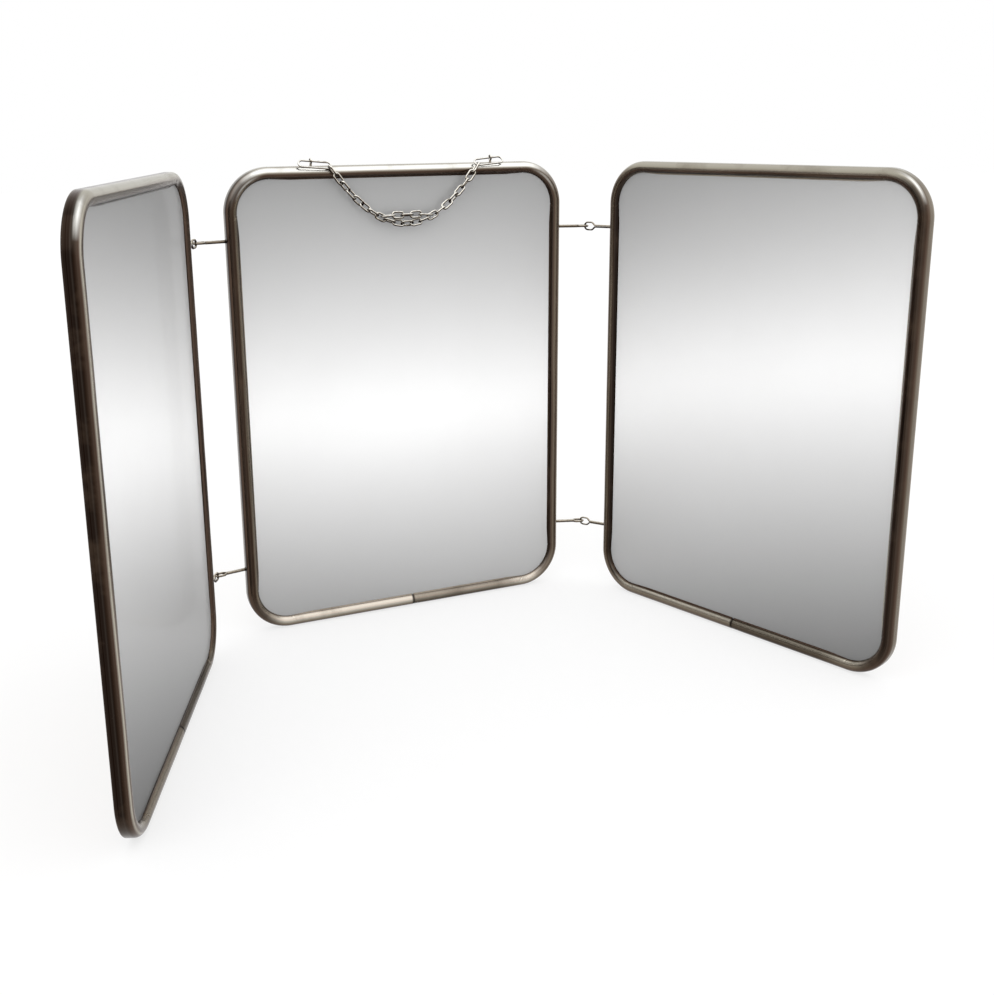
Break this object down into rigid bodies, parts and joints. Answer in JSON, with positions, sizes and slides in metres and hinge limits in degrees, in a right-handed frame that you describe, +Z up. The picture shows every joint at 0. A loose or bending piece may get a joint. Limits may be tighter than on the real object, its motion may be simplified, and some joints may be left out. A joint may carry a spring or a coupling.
{
  "type": "three panel folding mirror",
  "caption": "Table mirror of three framed panels that fold on interlocked split pins, with a hanging chain across the top of the middle panel.",
  "frame": {"origin": "underside of the centre frame, midway along it, in the plane of the hinge pins", "axes": "+X along the centre panel to its right seen from the reflecting side, -Y out of the reflecting side, +Z up"},
  "size_m": [0.4821, 0.2611, 0.3274],
  "materials": {
    "polished_nickel": "polished",
    "wire_nickel": "polished",
    "mirror": "polished",
    "fibreboard": "matte",
    "steel_bar": "satin"
  },
  "bodies": {
    "centre_panel": {"centre_frame": "polished_nickel", "centre_mirror_glass": "mirror", "centre_backing_board": "fibreboard", "centre_joint_bar": "steel_bar", "chain_eyelet_left": "wire_nickel", "chain_eyelet_right": "wire_nickel"},
    "left_inner_pins": {"left_upper_inner_pin": "wire_nickel", "left_lower_inner_pin": "wire_nickel"},
    "left_outer_pins": {"left_upper_outer_pin": "wire_nickel", "left_lower_outer_pin": "wire_nickel"},
    "left_panel": {"left_frame": "polished_nickel", "left_mirror_glass": "mirror", "left_backing_board": "fibreboard", "left_joint_bar": "steel_bar"},
    "right_inner_pins": {"right_upper_inner_pin": "wire_nickel", "right_lower_inner_pin": "wire_nickel"},
    "right_outer_pins": {"right_upper_outer_pin": "wire_nickel", "right_lower_outer_pin": "wire_nickel"},
    "right_panel": {"right_frame": "polished_nickel", "right_mirror_glass": "mirror", "right_backing_board": "fibreboard", "right_joint_bar": "steel_bar"},
    "chain": {"chain_end_link_left": "wire_nickel", "chain_end_link_right": "wire_nickel", "chain_run_left": "wire_nickel", "chain_run_middle": "wire_nickel", "chain_run_right": "wire_nickel", "chain_short_run": "wire_nickel", "chain_hook_link_left": "wire_nickel", "chain_hook_link_right": "wire_nickel"}
  },
  "joints": [
    {"name": "left_eye_fold", "type": "hinge", "parent": "left_inner_pins", "child": "left_outer_pins", "pos_m": [-0.14262, -0.00368, 0.161], "axis": [0, 0, 1], "range_deg": [-173.6, 78.4]},
    {"name": "left_inner_pin_swing", "type": "hinge", "parent": "centre_panel", "child": "left_inner_pins", "pos_m": [-0.12215, 0, 0.161], "axis": [0, 0, 1], "range_deg": [-37.3, 16.9]},
    {"name": "left_panel_swing", "type": "hinge", "parent": "left_outer_pins", "child": "left_panel", "pos_m": [-0.15466, -0.02281, 0.161], "axis": [0, 0, 1], "range_deg": [-37.3, 16.9]},
    {"name": "right_eye_fold", "type": "hinge", "parent": "right_inner_pins", "child": "right_outer_pins", "pos_m": [0.14189, -0.00655, 0.161], "axis": [0, 0, -1], "range_deg": [-123.48, 52.92]},
    {"name": "right_inner_pin_swing", "type": "hinge", "parent": "centre_panel", "child": "right_inner_pins", "pos_m": [0.12215, 0, 0.161], "axis": [0, 0, -1], "range_deg": [-64.4, 27.7]},
    {"name": "right_panel_swing", "type": "hinge", "parent": "right_outer_pins", "child": "right_panel", "pos_m": [0.15529, -0.02475, 0.161], "axis": [0, 0, -1], "range_deg": [-64.4, 27.7]},
    {"name": "chain_lift", "type": "hinge", "parent": "centre_panel", "child": "chain", "pos_m": [0.0012, -0.00399, 0.32518], "axis": [-1, 0, 0], "range_deg": [0, 180]}
  ],
  "couplings": [
    {"joint": "left_inner_pin_swing", "follows": "left_eye_fold", "ratio": 0.21429},
    {"joint": "left_panel_swing", "follows": "left_eye_fold", "ratio": 0.21429},
    {"joint": "right_inner_pin_swing", "follows": "right_eye_fold", "ratio": 0.52041},
    {"joint": "right_panel_swing", "follows": "right_eye_fold", "ratio": 0.52041}
  ]
}
